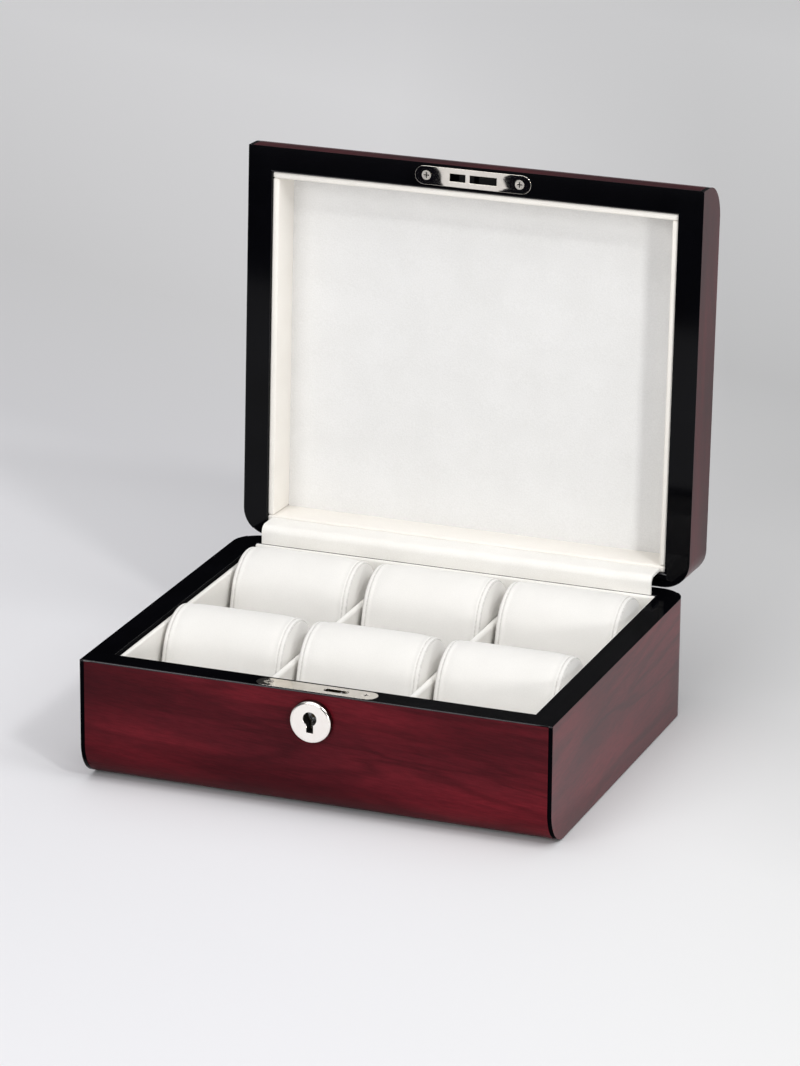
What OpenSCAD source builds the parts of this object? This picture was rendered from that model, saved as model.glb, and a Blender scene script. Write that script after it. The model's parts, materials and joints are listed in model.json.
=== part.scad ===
// Lockable six-place watch box with a hinged lid, standing open.
// X runs left to right, the front faces -Y, Z is up, and the origin is the middle of the underside.

/* [Box] */
// Width of the box, left to right
box_w = 210; // [195:1:240]
// Depth of the box, front to back
box_d = 178; // [170:1:200]
// Height of the rim of the base above the table
base_h = 54.8; // [52:0.1:70]
// Height of the lid above the rim
lid_h = 24.5; // [23:0.1:32]
// Thickness of the side walls
wall_t = 11.2; // [10.8:0.1:13]
// Thickness of the lid's back wall, which leaves room for the folded hinge cover
lid_back_t = 6.4; // [6.2:0.1:8]
// Radius along the long front edges, at the foot of the base and the top of the lid
edge_r = 16.5; // [11:0.5:17]
// Radius of the two upright corners at the back
corner_r = 12; // [8:0.5:14]
// Thickness of the bottom board
bottom_t = 5; // [4:0.5:6]
// Thickness of the lid's top board
lid_board_t = 4; // [3:0.5:5]
// Thickness of the felt under the box
felt_t = 0.5; // [0.4:0.1:2]
// How far the felt stays in from the box's edges
felt_inset = 3; // [1:0.5:8]
// Gap between the two rims with the lid closed
closing_gap = 0.2; // [0.1:0.05:0.5]
// Angle at which the lid stands open on its hinge stops
open_angle = 92.4; // [88:0.1:96]

/* [Linings] */
// Thickness of the lined cards on the walls of the base
lining_t = 2.3; // [1.5:0.1:3]
// Drop of the base linings below the rim
lining_drop = 1.9; // [1:0.1:4]
// Thickness of the floor lining
floor_lining_t = 2; // [1:0.1:3]
// Thickness of the padded cards on the walls of the lid
lid_lining_t = 3; // [2:0.1:3.2]
// How far the lid linings stay back from the lid's rim
lid_lining_drop = 1; // [0.5:0.1:3]
// Thickness of the padded panel in the lid's top
lid_pad_t = 1.9; // [1:0.1:3]

/* [Dividers] */
// Thickness of the covered dividers
divider_t = 3; // [2:0.1:4]
// Drop of the dividers' rounded tops below the rim
divider_drop = 9; // [3:0.5:12]
// How far behind the middle the long divider stands
divider_y = 1.5; // [0:0.5:6]
// Clearance on each side of the half-lap crossings
lap_clear = 0.05; // [0.02:0.01:0.2]

/* [Cushions] */
// Clearance between a cushion and what is round it
cushion_clear = 0.4; // [0.3:0.1:1]
// Front-to-back size of a cushion
cushion_d = 45.5; // [42:0.5:52]
// Height of the front cushions' crowns above the rim
front_rise = 5; // [2:0.2:8]
// Height of the back cushions' crowns above the rim
back_rise = 6.6; // [2:0.2:8]
// Radius of a cushion's crown
crown_r = 20; // [16:0.5:21]
// Radius of a cushion's lower front
belly_r = 16; // [10:0.5:18]
// Radius of a cushion's lower back
heel_r = 10; // [6:0.5:12]
// How far each end of a cushion swells past its piped seam
end_bulge = 2.8; // [1.5:0.1:4]
// How much smaller all round the flat of a swollen end is
end_inset = 8; // [5:0.5:9]
// Radius of the piping round each end
piping_r = 0.9; // [0.4:0.1:1]

/* [Lock] */
// Length of the lock plate and the keeper plate
plate_l = 53.6; // [48:0.1:60]
// Width of the lock plate and the keeper plate
plate_w = 8.4; // [7.6:0.1:8.6]
// Thickness of the lock plate and the keeper plate
plate_t = 1.2; // [1:0.1:1.6]
// Distance of both plates' middle lines behind the front face
plate_y = 5.4; // [5.2:0.1:5.5]
// Distance of the plate screws from the middle
plate_screw_x = 21.5; // [19:0.1:23]
// Left end of the slot in the lock plate
claw_slot_left = 3; // [1:0.1:5]
// Right end of the slot in the lock plate
claw_slot_right = 13.9; // [12:0.1:15]
// Left end of the keeper's left window
keeper_left = -10.7; // [-12:0.1:-9]
// Left side of the bridge between the keeper's windows
bridge_left = -3.5; // [-3.6:0.1:-2.6]
// Right side of the bridge between the keeper's windows
bridge_right = -1.5; // [-2:0.1:-1]
// Right end of the keeper's right window
keeper_right = 10.9; // [10.9:0.1:13]
// Width of the keeper's windows
keeper_slot_w = 3.4; // [2.8:0.1:4]
// Depth of the pocket above the keeper
keeper_pocket_h = 6.5; // [5.8:0.1:8]
// Drop of the key's axis below the rim
key_drop = 10.7; // [10.5:0.1:11]
// Drop of the lock case's foot below the rim
case_drop = 21.6; // [21:0.1:28]
// Front-to-back size of the lock case
case_t = 6.4; // [5.8:0.1:6.6]
// Thickness of the lock case's walls
case_wall = 0.8; // [0.6:0.1:1]
// Clearance between the claw's arm and the sides of the case
arm_clear = 0.3; // [0.1:0.1:0.6]
// Clearance round the lock case, the plates and the escutcheon's neck
lock_clear = 0.15; // [0.05:0.05:0.3]
// Inner radius of the claw's arm
claw_r_in = 12.6; // [12.6:0.1:13]
// Outer radius of the claw's arm
claw_r_out = 14.9; // [14.2:0.1:14.9]
// Thickness of the claw's arm
claw_t = 2; // [1.5:0.1:2.2]
// Radius of the claw's hub
hub_r = 6.6; // [6.4:0.1:8]
// Radius of the post that the claw turns on and the key fits over
post_r = 1.5; // [1.2:0.1:1.8]
// Radial running clearance of the claw on its post
post_clear = 0.05; // [0.02:0.01:0.1]
// Angle that the claw turns through when it is thrown
claw_throw = 60; // [50:1:62]
// Thickness of the flat spring that holds the claw
spring_t = 0.4; // [0.3:0.05:0.6]
// Radius of the escutcheon
rose_r = 9.25; // [8.5:0.05:11]
// How far the escutcheon stands out from the front
rose_t = 3; // [1.5:0.1:3.5]
// Drop of the escutcheon's middle below the rim
rose_drop = 12.3; // [12:0.1:13]
// Radius of the escutcheon's neck, set into the front
neck_r = 7; // [6.8:0.1:7.5]
// Radius of the round part of the keyhole
keyhole_r = 3; // [2.9:0.05:3.2]
// Width of the keyhole's slot
keyhole_w = 3; // [2.4:0.1:3.2]
// Reach of the keyhole's slot below the key's axis
keyhole_reach = 6.1; // [5:0.1:6.1]

/* [Screws] */
// Radius of the plate screws' heads
plate_head_r = 2.1; // [1.8:0.05:2.4]
// Radius of the hinge screws' heads
hinge_head_r = 1.6; // [1.3:0.05:1.9]
// Radius of every screw's shank
shank_r = 0.9; // [0.7:0.05:1.1]
// Length of every screw
screw_l = 9; // [7:0.5:12]
// Width of the slots in the screw heads' crosses
cross_w = 0.5; // [0.4:0.05:0.8]
// Clearance of a shank in its hole
shank_clear = 0.05; // [0.02:0.01:0.1]

/* [Hinges] */
// Distance of each hinge's middle from the box's side
hinge_end = 47; // [40:1:60]
// Length of a hinge along the box
hinge_l = 32; // [28:1:40]
// Width of a hinge's leaf on the base
base_leaf_w = 9; // [7.5:0.1:9.5]
// Width of a hinge's leaf on the lid
lid_leaf_w = 5.8; // [5.6:0.1:5.8]
// Thickness of the leaves
leaf_t = 1.2; // [0.8:0.1:1.5]
// Radius of the knuckles
knuckle_r = 2.2; // [1.8:0.1:2.4]
// Length of the lid's middle knuckle
lid_knuckle_l = 12; // [8:1:14]
// Radius of the hinge pin
pin_r = 0.9; // [0.7:0.05:1.1]
// Radial running clearance on the hinge pin
pin_clear = 0.05; // [0.02:0.01:0.1]
// Clearance between moving pieces of a hinge
hinge_clear = 0.15; // [0.1:0.05:0.3]
// Outer radius of the stop lugs behind the knuckles
lug_r = 4.4; // [3.8:0.1:5]
// Length by which the base's stop lugs reach over the lid's knuckle
lug_overlap = 3; // [2:0.5:3.5]
// Angle that each stop lug fills round the pin
lug_angle = 36; // [25:1:40]

/* [Hinge cover] */
// Height of the cover above the rim
cover_h = 8.4; // [7.5:0.1:9]
// Thickness of the covered strip
cover_t = 1.2; // [0.8:0.1:1.6]
// Radius of the cover's upper front bend
cover_r = 3.5; // [2.5:0.1:4.5]
// How far each end of the cover stays in from the walls
cover_inset = 2.4; // [1:0.1:6]

/* [Hidden] */
$fn = 96;
outline_points = 72; // points round a cushion
over = 1; // how far a cutter reaches past what it cuts
wood = "#5a1420";
black = "#141214";
cloth = "#ece7dc";
chrome = "#d8dadc";
brass = "#c8a45a";

front_y = -box_d / 2;
back_y = box_d / 2;
inner_x = box_w / 2 - wall_t;       // inner faces of the side walls
inner_front = front_y + wall_t;
inner_back = back_y - wall_t;
floor_z = felt_t + bottom_t;         // top of the bottom board
rest_z = floor_z + floor_lining_t;   // top of the floor lining
lining_top = base_h - lining_drop;
lined_x = inner_x - lining_t;        // lined faces inside the base
lined_front = inner_front + lining_t;
lined_back = inner_back - lining_t;
divider_top = base_h - divider_drop;
cell_w = (2 * lined_x - 2 * divider_t) / 3;
column_pitch = cell_w + divider_t;
lid_inner_h = lid_h - lid_board_t;   // underside of the lid's board, above the rim
lid_pad_z = lid_inner_h - lid_pad_t; // face of the padded panel, above the rim
lid_inner_back = back_y - lid_back_t;
lock_y = front_y + plate_y;
case_w = 2 * (claw_r_out + arm_clear + case_wall); // width of the lock case
hinge_x = box_w / 2 - hinge_end;    // distance of each hinge from the middle
key_z = base_h - key_drop;
swing_r = knuckle_r + hinge_clear;   // room that a knuckle turns in
knuckle_x = lid_knuckle_l / 2;       // ends of the lid's knuckle
own_knuckle_x = knuckle_x + hinge_clear;
stop_angle = open_angle / 2;         // angle below level at which the open hinge's lugs meet
stop_gap = 0.5;                      // degrees left between the open hinge's stop lugs

// What stands in the lid's own place when it is closed, turned open about the hinge pins
module opened() {
    translate([0, back_y, base_h]) rotate([-open_angle, 0, 0]) translate([0, -back_y, 0])
        children();
}

// Box outline seen from above, square at the front and rounded at the back
module plan(inset = 0) {
    r = corner_r - inset;
    w = box_w - 2 * inset;
    translate([-w / 2, front_y + inset]) square([w, box_d - 2 * inset - r]);
    translate([-w / 2 + r, front_y + inset]) square([w - 2 * r, box_d - 2 * inset]);
    for (side = [-1, 1])
        translate([side * (w / 2 - r), back_y - inset - r]) circle(r);
}

// Outside of one half of the box, from the rim at z = 0 to its flat face at z = h,
// with the long front edge rounded at that face
module shell_block(h) {
    intersection() {
        linear_extrude(h) plan();
        rotate([90, 0, 90]) translate([0, 0, -box_w / 2 - over])
            linear_extrude(box_w + 2 * over) {
                translate([front_y - over, -over]) square([box_d + 2 * over, h - edge_r + over]);
                translate([front_y + edge_r, -over]) square([box_d - edge_r + over, h + over]);
                translate([front_y + edge_r, h - edge_r]) circle(edge_r);
            }
    }
}

// The base's outside stands upside down on the same profile
module base_block() {
    translate([0, 0, base_h]) mirror([0, 0, 1]) shell_block(base_h - felt_t);
}

module lid_block() {
    translate([0, 0, closing_gap]) shell_block(lid_h - closing_gap);
}

// Mitred plan of one wall: "front", "back", "left" or "right"
module wall_plan(side, back_t) {
    x = box_w / 2;
    inner = [x - wall_t, back_y - back_t];
    slope = back_t / wall_t;
    out_back = [x + over, back_y + over * slope];
    out_front = [x + over, front_y - over];
    if (side == "front")
        polygon([[-out_front.x, out_front.y], out_front, [inner.x, inner_front], [-inner.x, inner_front]]);
    if (side == "back")
        polygon([[-out_back.x, out_back.y], out_back, inner, [-inner.x, inner.y]]);
    if (side == "left")
        polygon([[-out_front.x, out_front.y], [-inner.x, inner_front], [-inner.x, inner.y],
            [-out_back.x, out_back.y]]);
    if (side == "right")
        polygon([out_front, [inner.x, inner_front], inner, out_back]);
}

module base_wall(side) {
    intersection() {
        base_block();
        linear_extrude(base_h + over) wall_plan(side, wall_t);
    }
}

module lid_wall(side) {
    intersection() {
        lid_block();
        linear_extrude(lid_h + over) wall_plan(side, lid_back_t);
    }
}

// Long hole or plate with round ends, middle at the origin
module stadium(l, w, h) {
    linear_extrude(h) {
        square([l - w, w], center = true);
        for (side = [-1, 1]) translate([side * (l - w) / 2, 0]) circle(w / 2);
    }
}

module keyhole(depth) {
    translate([0, 0, key_z]) rotate([-90, 0, 0]) cylinder(r = keyhole_r, h = depth);
    translate([-keyhole_w / 2, 0, key_z - keyhole_reach]) cube([keyhole_w, depth, keyhole_reach]);
}

// Countersunk screw with a cross in its head, its top at the origin, pointing down
module screw(head_r) {
    cone = head_r - shank_r;
    difference() {
        union() {
            translate([0, 0, -cone]) cylinder(r1 = shank_r, r2 = head_r, h = cone);
            translate([0, 0, -screw_l]) cylinder(r = shank_r, h = screw_l - cone);
        }
        for (turn = [0, 90])
            rotate(turn) translate([-head_r * 0.6, -cross_w / 2, -cone * 0.5])
                cube([head_r * 1.2, cross_w, cone]);
    }
}

// Hole that a screw needs in a plate and in the wood behind it
module screw_hole(head_r) {
    cone = head_r - shank_r;
    translate([0, 0, -cone]) cylinder(r1 = shank_r + shank_clear, r2 = head_r + shank_clear, h = cone);
    translate([0, 0, -screw_l - over / 2]) cylinder(r = shank_r + shank_clear, h = screw_l);
    translate([0, 0, -over / 1000]) cylinder(r = head_r + shank_clear, h = over);
}

// Two screws or screw holes of a plate
module at_plate_screws() {
    for (side = [-1, 1]) translate([side * plate_screw_x, lock_y, 0]) children();
}

// Two screws of a hinge leaf, at a distance in front of the pin
module at_leaf_screws(leaf_w) {
    for (side = [-1, 1], end = [-1, 1])
        translate([side * hinge_x + end * hinge_l * 0.3, back_y - (swing_r + leaf_w) / 2, 0]) children();
}

// ---- base ----

module base_front_panel() color(wood) {
    difference() {
        base_wall("front");
        translate([0, lock_y, base_h - plate_t])
            stadium(plate_l + 2 * lock_clear, plate_w + 2 * lock_clear, plate_t + over);
        translate([-case_w / 2 - lock_clear, lock_y - case_t / 2 - lock_clear, base_h - case_drop - lock_clear])
            cube([case_w + 2 * lock_clear, case_t + 2 * lock_clear, case_drop + over]);
        translate([0, front_y - over, base_h - rose_drop])
            rotate([-90, 0, 0]) cylinder(r = neck_r + lock_clear, h = plate_y - case_t / 2 + over);
        translate([0, 0, base_h]) at_plate_screws() screw_hole(plate_head_r);
    }
}

module base_back_panel() color(wood) {
    difference() {
        base_wall("back");
        for (side = [-1, 1]) translate([side * hinge_x, back_y, base_h]) {
            translate([-hinge_l / 2 - hinge_clear, -base_leaf_w - hinge_clear, -leaf_t])
                cube([hinge_l + 2 * hinge_clear, base_leaf_w + over, leaf_t + over]);
            rotate([0, 90, 0]) translate([0, 0, -hinge_l / 2 - hinge_clear])
                cylinder(r = knuckle_r + hinge_clear, h = hinge_l + 2 * hinge_clear);
        }
        translate([0, 0, base_h]) at_leaf_screws(base_leaf_w) screw_hole(hinge_head_r);
    }
}

module base_left_panel() color(wood) base_wall("left");

module base_right_panel() color(wood) base_wall("right");

module bottom_board() color(black) {
    intersection() {
        base_block();
        translate([-inner_x, inner_front, 0])
            cube([2 * inner_x, inner_back - inner_front, floor_z]);
    }
}

module underside_felt() color(black) {
    linear_extrude(felt_t) intersection() {
        plan(felt_inset);
        translate([-box_w / 2, front_y + edge_r - felt_inset / 2]) square([box_w, box_d]);
    }
}

module front_lining() color(cloth)
    translate([-inner_x, inner_front, rest_z]) cube([2 * inner_x, lining_t, lining_top - rest_z]);

// The back lining goes up to the rim, where the hinge cover carries on from it
module back_lining() color(cloth)
    translate([-inner_x, lined_back, rest_z]) cube([2 * inner_x, lining_t, base_h - rest_z]);

module side_lining(side) {
    translate([side * (inner_x - lining_t / 2) - lining_t / 2, lined_front, rest_z])
        cube([lining_t, lined_back - lined_front, lining_top - rest_z]);
}

module left_lining() color(cloth) side_lining(-1);

module right_lining() color(cloth) side_lining(1);

module floor_lining() color(cloth)
    translate([-inner_x, inner_front, floor_z])
        cube([2 * inner_x, inner_back - inner_front, floor_lining_t]);

// Covered card along X, standing on the floor lining, with a round top
module divider(l) {
    translate([-l / 2, -divider_t / 2, rest_z]) cube([l, divider_t, divider_top - divider_t / 2 - rest_z]);
    translate([-l / 2, 0, divider_top - divider_t / 2]) rotate([0, 90, 0])
        cylinder(d = divider_t, h = l);
}

lap_z = (rest_z + divider_top) / 2; // height at which the dividers' half-laps meet

module long_divider() color(cloth) {
    notch = divider_t + 2 * lap_clear;
    translate([0, divider_y, 0]) difference() {
        divider(2 * lined_x);
        for (side = [-1, 1])
            translate([side * column_pitch / 2 - notch / 2, -divider_t, lap_z])
                cube([notch, 2 * divider_t, divider_top]);
    }
}

module cross_divider(side) {
    notch = divider_t + 2 * lap_clear;
    translate([side * column_pitch / 2, 0, 0]) difference() {
        rotate(90) divider(lined_back - lined_front);
        translate([-divider_t, divider_y - notch / 2, 0]) cube([2 * divider_t, notch, lap_z]);
    }
}

module left_cross_divider() color(cloth) cross_divider(-1);

module right_cross_divider() color(cloth) cross_divider(1);

// ---- cushions ----

// Side outline of a cushion about its own middle: what goes round its crown, its belly and its heel
function cushion_outline(rise) =
    let (
        top = cushion_h(rise) / 2,
        rounds = [
            [[cushion_d / 2 - crown_r, top - crown_r], crown_r],
            [[belly_r - cushion_d / 2, belly_r - top], belly_r],
            [[cushion_d / 2 - heel_r, heel_r - top], heel_r]
        ]
    ) [for (k = [0:outline_points - 1]) let (
        way = [cos(360 * k / outline_points), sin(360 * k / outline_points)],
        reach = [for (r = rounds) r[0] * way + r[1]],
        r = rounds[search(max(reach), reach)[0]]
    ) r[0] + r[1] * way];

// One cushion: a stuffed roll whose ends turn in at their piped seams, and a swollen panel on each end
module cushion(column, back, rise) {
    seam_x = cell_w / 2 - cushion_clear - end_bulge;
    half = [
        [seam_x - 2 * piping_r, 1],
        [seam_x + piping_r, 1 - 2 * piping_r / cushion_d],
        [seam_x + end_bulge, 1 - 2 * end_inset / cushion_d]
    ];
    rings = [-half[2], -half[1], -half[0], half[0], half[1], half[2]]; // a minus turns both values
    last = len(rings) - 1;
    n = outline_points;
    translate([column * column_pitch, back - cushion_clear - cushion_d / 2,
        rest_z + cushion_clear + cushion_h(rise) / 2])
        polyhedron(
            points = [for (ring = rings) for (p = cushion_outline(rise))
                [ring[0], p[0] * abs(ring[1]), p[1] * abs(ring[1])]],
            faces = concat(
                [[for (k = [0:n - 1]) k]],
                [for (ring = [0:last - 1]) for (k = [0:n - 1])
                    [ring * n + k, (ring + 1) * n + k, (ring + 1) * n + (k + 1) % n, ring * n + (k + 1) % n]],
                [[for (k = [n - 1:-1:0]) last * n + k]]
            )
        );
}

function cushion_h(rise) = base_h + rise - rest_z - cushion_clear;

row_back = [divider_y - divider_t / 2, lined_back]; // what stands behind the front row and the back row

module front_left_cushion() color(cloth) cushion(-1, row_back[0], front_rise);

module front_middle_cushion() color(cloth) cushion(0, row_back[0], front_rise);

module front_right_cushion() color(cloth) cushion(1, row_back[0], front_rise);

module back_left_cushion() color(cloth) cushion(-1, row_back[1], back_rise);

module back_middle_cushion() color(cloth) cushion(0, row_back[1], back_rise);

module back_right_cushion() color(cloth) cushion(1, row_back[1], back_rise);

// ---- lid, made closed and turned open ----

module lid_front_panel() color(wood) opened() {
    difference() {
        lid_wall("front");
        translate([0, lock_y, 0])
            stadium(plate_l + 2 * lock_clear, plate_w + 2 * lock_clear, plate_t + closing_gap);
        translate([keeper_left, lock_y - keeper_slot_w / 2, 0])
            cube([keeper_right - keeper_left, keeper_slot_w, keeper_pocket_h]);
        translate([0, 0, closing_gap]) mirror([0, 0, 1]) at_plate_screws() screw_hole(plate_head_r);
    }
}

module lid_back_panel() color(wood) opened() {
    difference() {
        lid_wall("back");
        for (side = [-1, 1]) translate([side * hinge_x, back_y, 0]) {
            translate([-hinge_l / 2 - hinge_clear, -lid_leaf_w - hinge_clear, 0])
                cube([hinge_l + 2 * hinge_clear, lid_leaf_w + over, leaf_t + closing_gap / 2]);
            rotate([0, 90, 0]) translate([0, 0, -hinge_l / 2 - hinge_clear])
                cylinder(r = knuckle_r + hinge_clear, h = hinge_l + 2 * hinge_clear);
        }
        translate([0, 0, closing_gap / 2]) mirror([0, 0, 1]) at_leaf_screws(lid_leaf_w) screw_hole(hinge_head_r);
    }
}

module lid_left_panel() color(wood) opened() lid_wall("left");

module lid_right_panel() color(wood) opened() lid_wall("right");

module lid_top_board() color(wood) opened() {
    intersection() {
        lid_block();
        translate([-inner_x, inner_front, lid_inner_h])
            cube([2 * inner_x, lid_inner_back - inner_front, lid_board_t + over]);
    }
}

lid_lining_l = lid_inner_back - inner_front;
lid_lining_z = closing_gap + lid_lining_drop;

module lid_front_lining() color(cloth) opened()
    translate([-inner_x, inner_front, lid_lining_z])
        cube([2 * inner_x, lid_lining_t, lid_inner_h - lid_lining_z]);

module lid_back_lining() color(cloth) opened()
    translate([-inner_x, lid_inner_back - lid_lining_t, lid_lining_z])
        cube([2 * inner_x, lid_lining_t, lid_inner_h - lid_lining_z]);

module lid_side_lining(side) {
    translate([side * (inner_x - lid_lining_t / 2) - lid_lining_t / 2, inner_front + lid_lining_t, lid_lining_z])
        cube([lid_lining_t, lid_lining_l - 2 * lid_lining_t, lid_inner_h - lid_lining_z]);
}

module lid_left_lining() color(cloth) opened() lid_side_lining(-1);

module lid_right_lining() color(cloth) opened() lid_side_lining(1);

module lid_padded_panel() color(cloth) opened()
    translate([-inner_x + lid_lining_t, inner_front + lid_lining_t, lid_pad_z])
        cube([2 * (inner_x - lid_lining_t), lid_lining_l - 2 * lid_lining_t, lid_pad_t]);

// ---- hinges ----

// Length of pipe along the hinge pin, from x0 to x1, with the pin's axis at the origin
module knuckle(x0, x1) {
    translate([x0, 0, 0]) rotate([0, 90, 0]) difference() {
        cylinder(r = knuckle_r, h = x1 - x0);
        translate([0, 0, -over]) cylinder(r = pin_r + pin_clear, h = x1 - x0 + 2 * over);
    }
}

// Stop lug behind the pin, from x0 to x1, filling the angles a0 to a1 below the level of the pin
module lug(x0, x1, r0, a0, a1) {
    translate([x0, 0, 0]) rotate([90, 0, 90]) rotate(-a1)
        rotate_extrude(angle = a1 - a0) translate([r0, 0]) square([lug_r - r0, x1 - x0]);
}

// Leaf on the base: a plate let into the rim, two knuckles and their stop lugs
module base_leaf(side) {
    translate([side * hinge_x, back_y, base_h]) {
        difference() {
            union() {
                translate([-hinge_l / 2, -base_leaf_w, -leaf_t])
                    cube([hinge_l, base_leaf_w - swing_r, leaf_t]);
                for (end = [0, 1]) mirror([end, 0, 0])
                    translate([own_knuckle_x, -swing_r - over / 10, -leaf_t])
                        cube([hinge_l / 2 - own_knuckle_x, swing_r + over / 10, leaf_t]);
            }
            translate([-hinge_l / 2 - over, 0, 0]) rotate([0, 90, 0])
                cylinder(r = (knuckle_r + pin_r) / 2, h = hinge_l + 2 * over);
            translate([-side * hinge_x, -back_y, 0]) at_leaf_screws(base_leaf_w) screw_hole(hinge_head_r);
        }
        for (end = [0, 1]) mirror([end, 0, 0]) {
            knuckle(own_knuckle_x, hinge_l / 2);
            lug(own_knuckle_x, hinge_l / 2, knuckle_r - 0.2, stop_angle + stop_gap, stop_angle + lug_angle);
            lug(knuckle_x - lug_overlap, own_knuckle_x, swing_r, stop_angle + stop_gap,
                stop_angle + lug_angle);
        }
    }
}

// Leaf on the lid, made closed: a plate let into the lid's rim and one knuckle with its stop lug
module lid_leaf(side) {
    opened() translate([side * hinge_x, back_y, 0]) {
        translate([0, 0, closing_gap / 2]) difference() {
            union() {
                translate([-hinge_l / 2, -lid_leaf_w, 0]) cube([hinge_l, lid_leaf_w - swing_r, leaf_t]);
                translate([-knuckle_x, -swing_r - over / 10, 0])
                    cube([lid_knuckle_l, swing_r + over / 10, leaf_t]);
            }
            translate([-hinge_l / 2 - over, 0, -closing_gap / 2]) rotate([0, 90, 0])
                cylinder(r = (knuckle_r + pin_r) / 2, h = hinge_l + 2 * over);
            translate([-side * hinge_x, -back_y, 0]) mirror([0, 0, 1])
                at_leaf_screws(lid_leaf_w) screw_hole(hinge_head_r);
        }
        knuckle(-knuckle_x, knuckle_x);
        lug(-knuckle_x, knuckle_x, knuckle_r - 0.2, stop_angle - open_angle - lug_angle,
            stop_angle - open_angle);
    }
}

module hinge_pin(side) {
    translate([side * hinge_x - hinge_l / 2, back_y, base_h]) rotate([0, 90, 0])
        cylinder(r = pin_r, h = hinge_l);
}

module left_hinge_base_leaf() color(brass) base_leaf(-1);

module left_hinge_lid_leaf() color(brass) lid_leaf(-1);

module left_hinge_pin() color(brass) hinge_pin(-1);

module right_hinge_base_leaf() color(brass) base_leaf(1);

module right_hinge_lid_leaf() color(brass) lid_leaf(1);

module right_hinge_pin() color(brass) hinge_pin(1);

module base_leaf_screws() color(brass)
    translate([0, 0, base_h]) at_leaf_screws(base_leaf_w) screw(hinge_head_r);

module lid_leaf_screws() color(brass) opened()
    translate([0, 0, closing_gap / 2]) mirror([0, 0, 1]) at_leaf_screws(lid_leaf_w) screw(hinge_head_r);

// Side outline of the hinge cover, from the rim up and back to the lid's lining
module cover_outline(inset) {
    r = cover_r - inset;
    run = box_d; // longer than the cover is deep
    translate([cover_r, 0]) square([run, cover_h - inset]);
    translate([inset, 0]) square([run, cover_h - cover_r]);
    translate([cover_r, cover_h - cover_r]) circle(r);
}

// Flexible covered strip over the hinge line
module hinge_cover() color(cloth) {
    end_x = inner_x - cover_inset;
    end_y = wall_t + closing_gap + lid_lining_drop + cover_t / 6;
    translate([-end_x, inner_back, base_h]) rotate([90, 0, 90]) linear_extrude(2 * end_x)
        intersection() {
            difference() {
                cover_outline(0);
                translate([0, -over]) cover_outline(cover_t);
                translate([cover_t, -over]) square([box_d, cover_h - cover_t + over - 0.001]);
            }
            square([end_y, cover_h]);
        }
}

// ---- lock ----

module lock_plate() color(chrome) {
    mid = (claw_slot_left + claw_slot_right) / 2;
    difference() {
        translate([0, lock_y, base_h - plate_t]) stadium(plate_l, plate_w, plate_t);
        translate([mid, lock_y, base_h - plate_t - over])
            stadium(claw_slot_right - claw_slot_left, keeper_slot_w, plate_t + 2 * over);
        translate([0, 0, base_h]) at_plate_screws() screw_hole(plate_head_r);
    }
}

case_h = case_drop - plate_t;
case_in = case_t - 2 * case_wall; // front-to-back room inside the case

// Box of sheet metal, open to the front and the top, with the post that the claw turns on
module lock_case() color(brass) {
    translate([0, lock_y, base_h - case_drop]) difference() {
        translate([-case_w / 2, -case_t / 2 + case_wall, 0]) cube([case_w, case_t - case_wall, case_h]);
        translate([-case_w / 2 + case_wall, -case_t / 2, case_wall])
            cube([case_w - 2 * case_wall, case_t - case_wall, case_h]);
    }
    translate([0, lock_y + case_in / 2 + case_wall / 2, key_z]) rotate([90, 0, 0])
        cylinder(r = post_r, h = case_in + case_wall / 2);
}

module lock_case_cover() color(brass) {
    difference() {
        translate([-case_w / 2, lock_y - case_t / 2, base_h - case_drop]) cube([case_w, case_wall, case_h]);
        translate([0, lock_y - case_t / 2 - over, 0]) keyhole(case_wall + 2 * over);
    }
}

hub_t = case_in - 2 * lap_clear; // thickness of the claw's hub
tip_angle = asin((key_drop - claw_t / 10) / claw_r_out); // angle of the claw's tip, just under the rim
web_angle = 45 - claw_throw;     // upper side of the web between hub and arm

// Part of a ring round the key's axis, from angle a0 to a1 above the right-hand level
module claw_ring(r0, r1, a0, a1, t) {
    translate([0, lock_y + t / 2, key_z]) rotate([90, 0, 0]) rotate(a0)
        rotate_extrude(angle = a1 - a0) translate([r0, 0]) square([r1 - r0, t]);
}

// Hooked claw: a hub with a socket for the key, a web and a curved arm
module lock_claw() color(chrome) {
    difference() {
        translate([0, lock_y + hub_t / 2, key_z]) rotate([90, 0, 0]) cylinder(r = hub_r, h = hub_t);
        translate([0, lock_y + hub_t, key_z]) rotate([90, 0, 0])
            cylinder(r = post_r + post_clear, h = 2 * hub_t);
        translate([0, lock_y - hub_t, 0]) keyhole(hub_t);
    }
    claw_ring(hub_r - 0.3, claw_r_in + 0.3, web_angle - 20, web_angle, claw_t);
    claw_ring(claw_r_in, claw_r_out, web_angle - 20, tip_angle, claw_t);
}

// Flat spring that stands in the case and bears on the claw's hub
module lock_spring() color(chrome) {
    foot = base_h - case_drop + case_wall;
    translate([-hub_r - post_clear - spring_t, lock_y - claw_t / 2, foot])
        cube([spring_t, claw_t, key_z + hub_r * 0.8 - foot]);
}

module lock_plate_screws() color(chrome)
    translate([0, 0, base_h]) at_plate_screws() screw(plate_head_r);

// Round keyhole plate with a softened rim and a neck let into the front
module escutcheon() color(chrome) {
    soft = rose_t * 0.45;
    difference() {
        translate([0, front_y, base_h - rose_drop]) rotate([90, 0, 0]) {
            rotate_extrude() union() {
                square([rose_r, rose_t - soft]);
                square([rose_r - soft, rose_t]);
                translate([rose_r - soft, rose_t - soft]) circle(soft);
            }
            translate([0, 0, lock_clear - plate_y + case_t / 2])
                cylinder(r = neck_r, h = plate_y - case_t / 2);
        }
        translate([0, front_y - rose_t - over, 0]) keyhole(plate_y + rose_t + over);
    }
}

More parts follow.
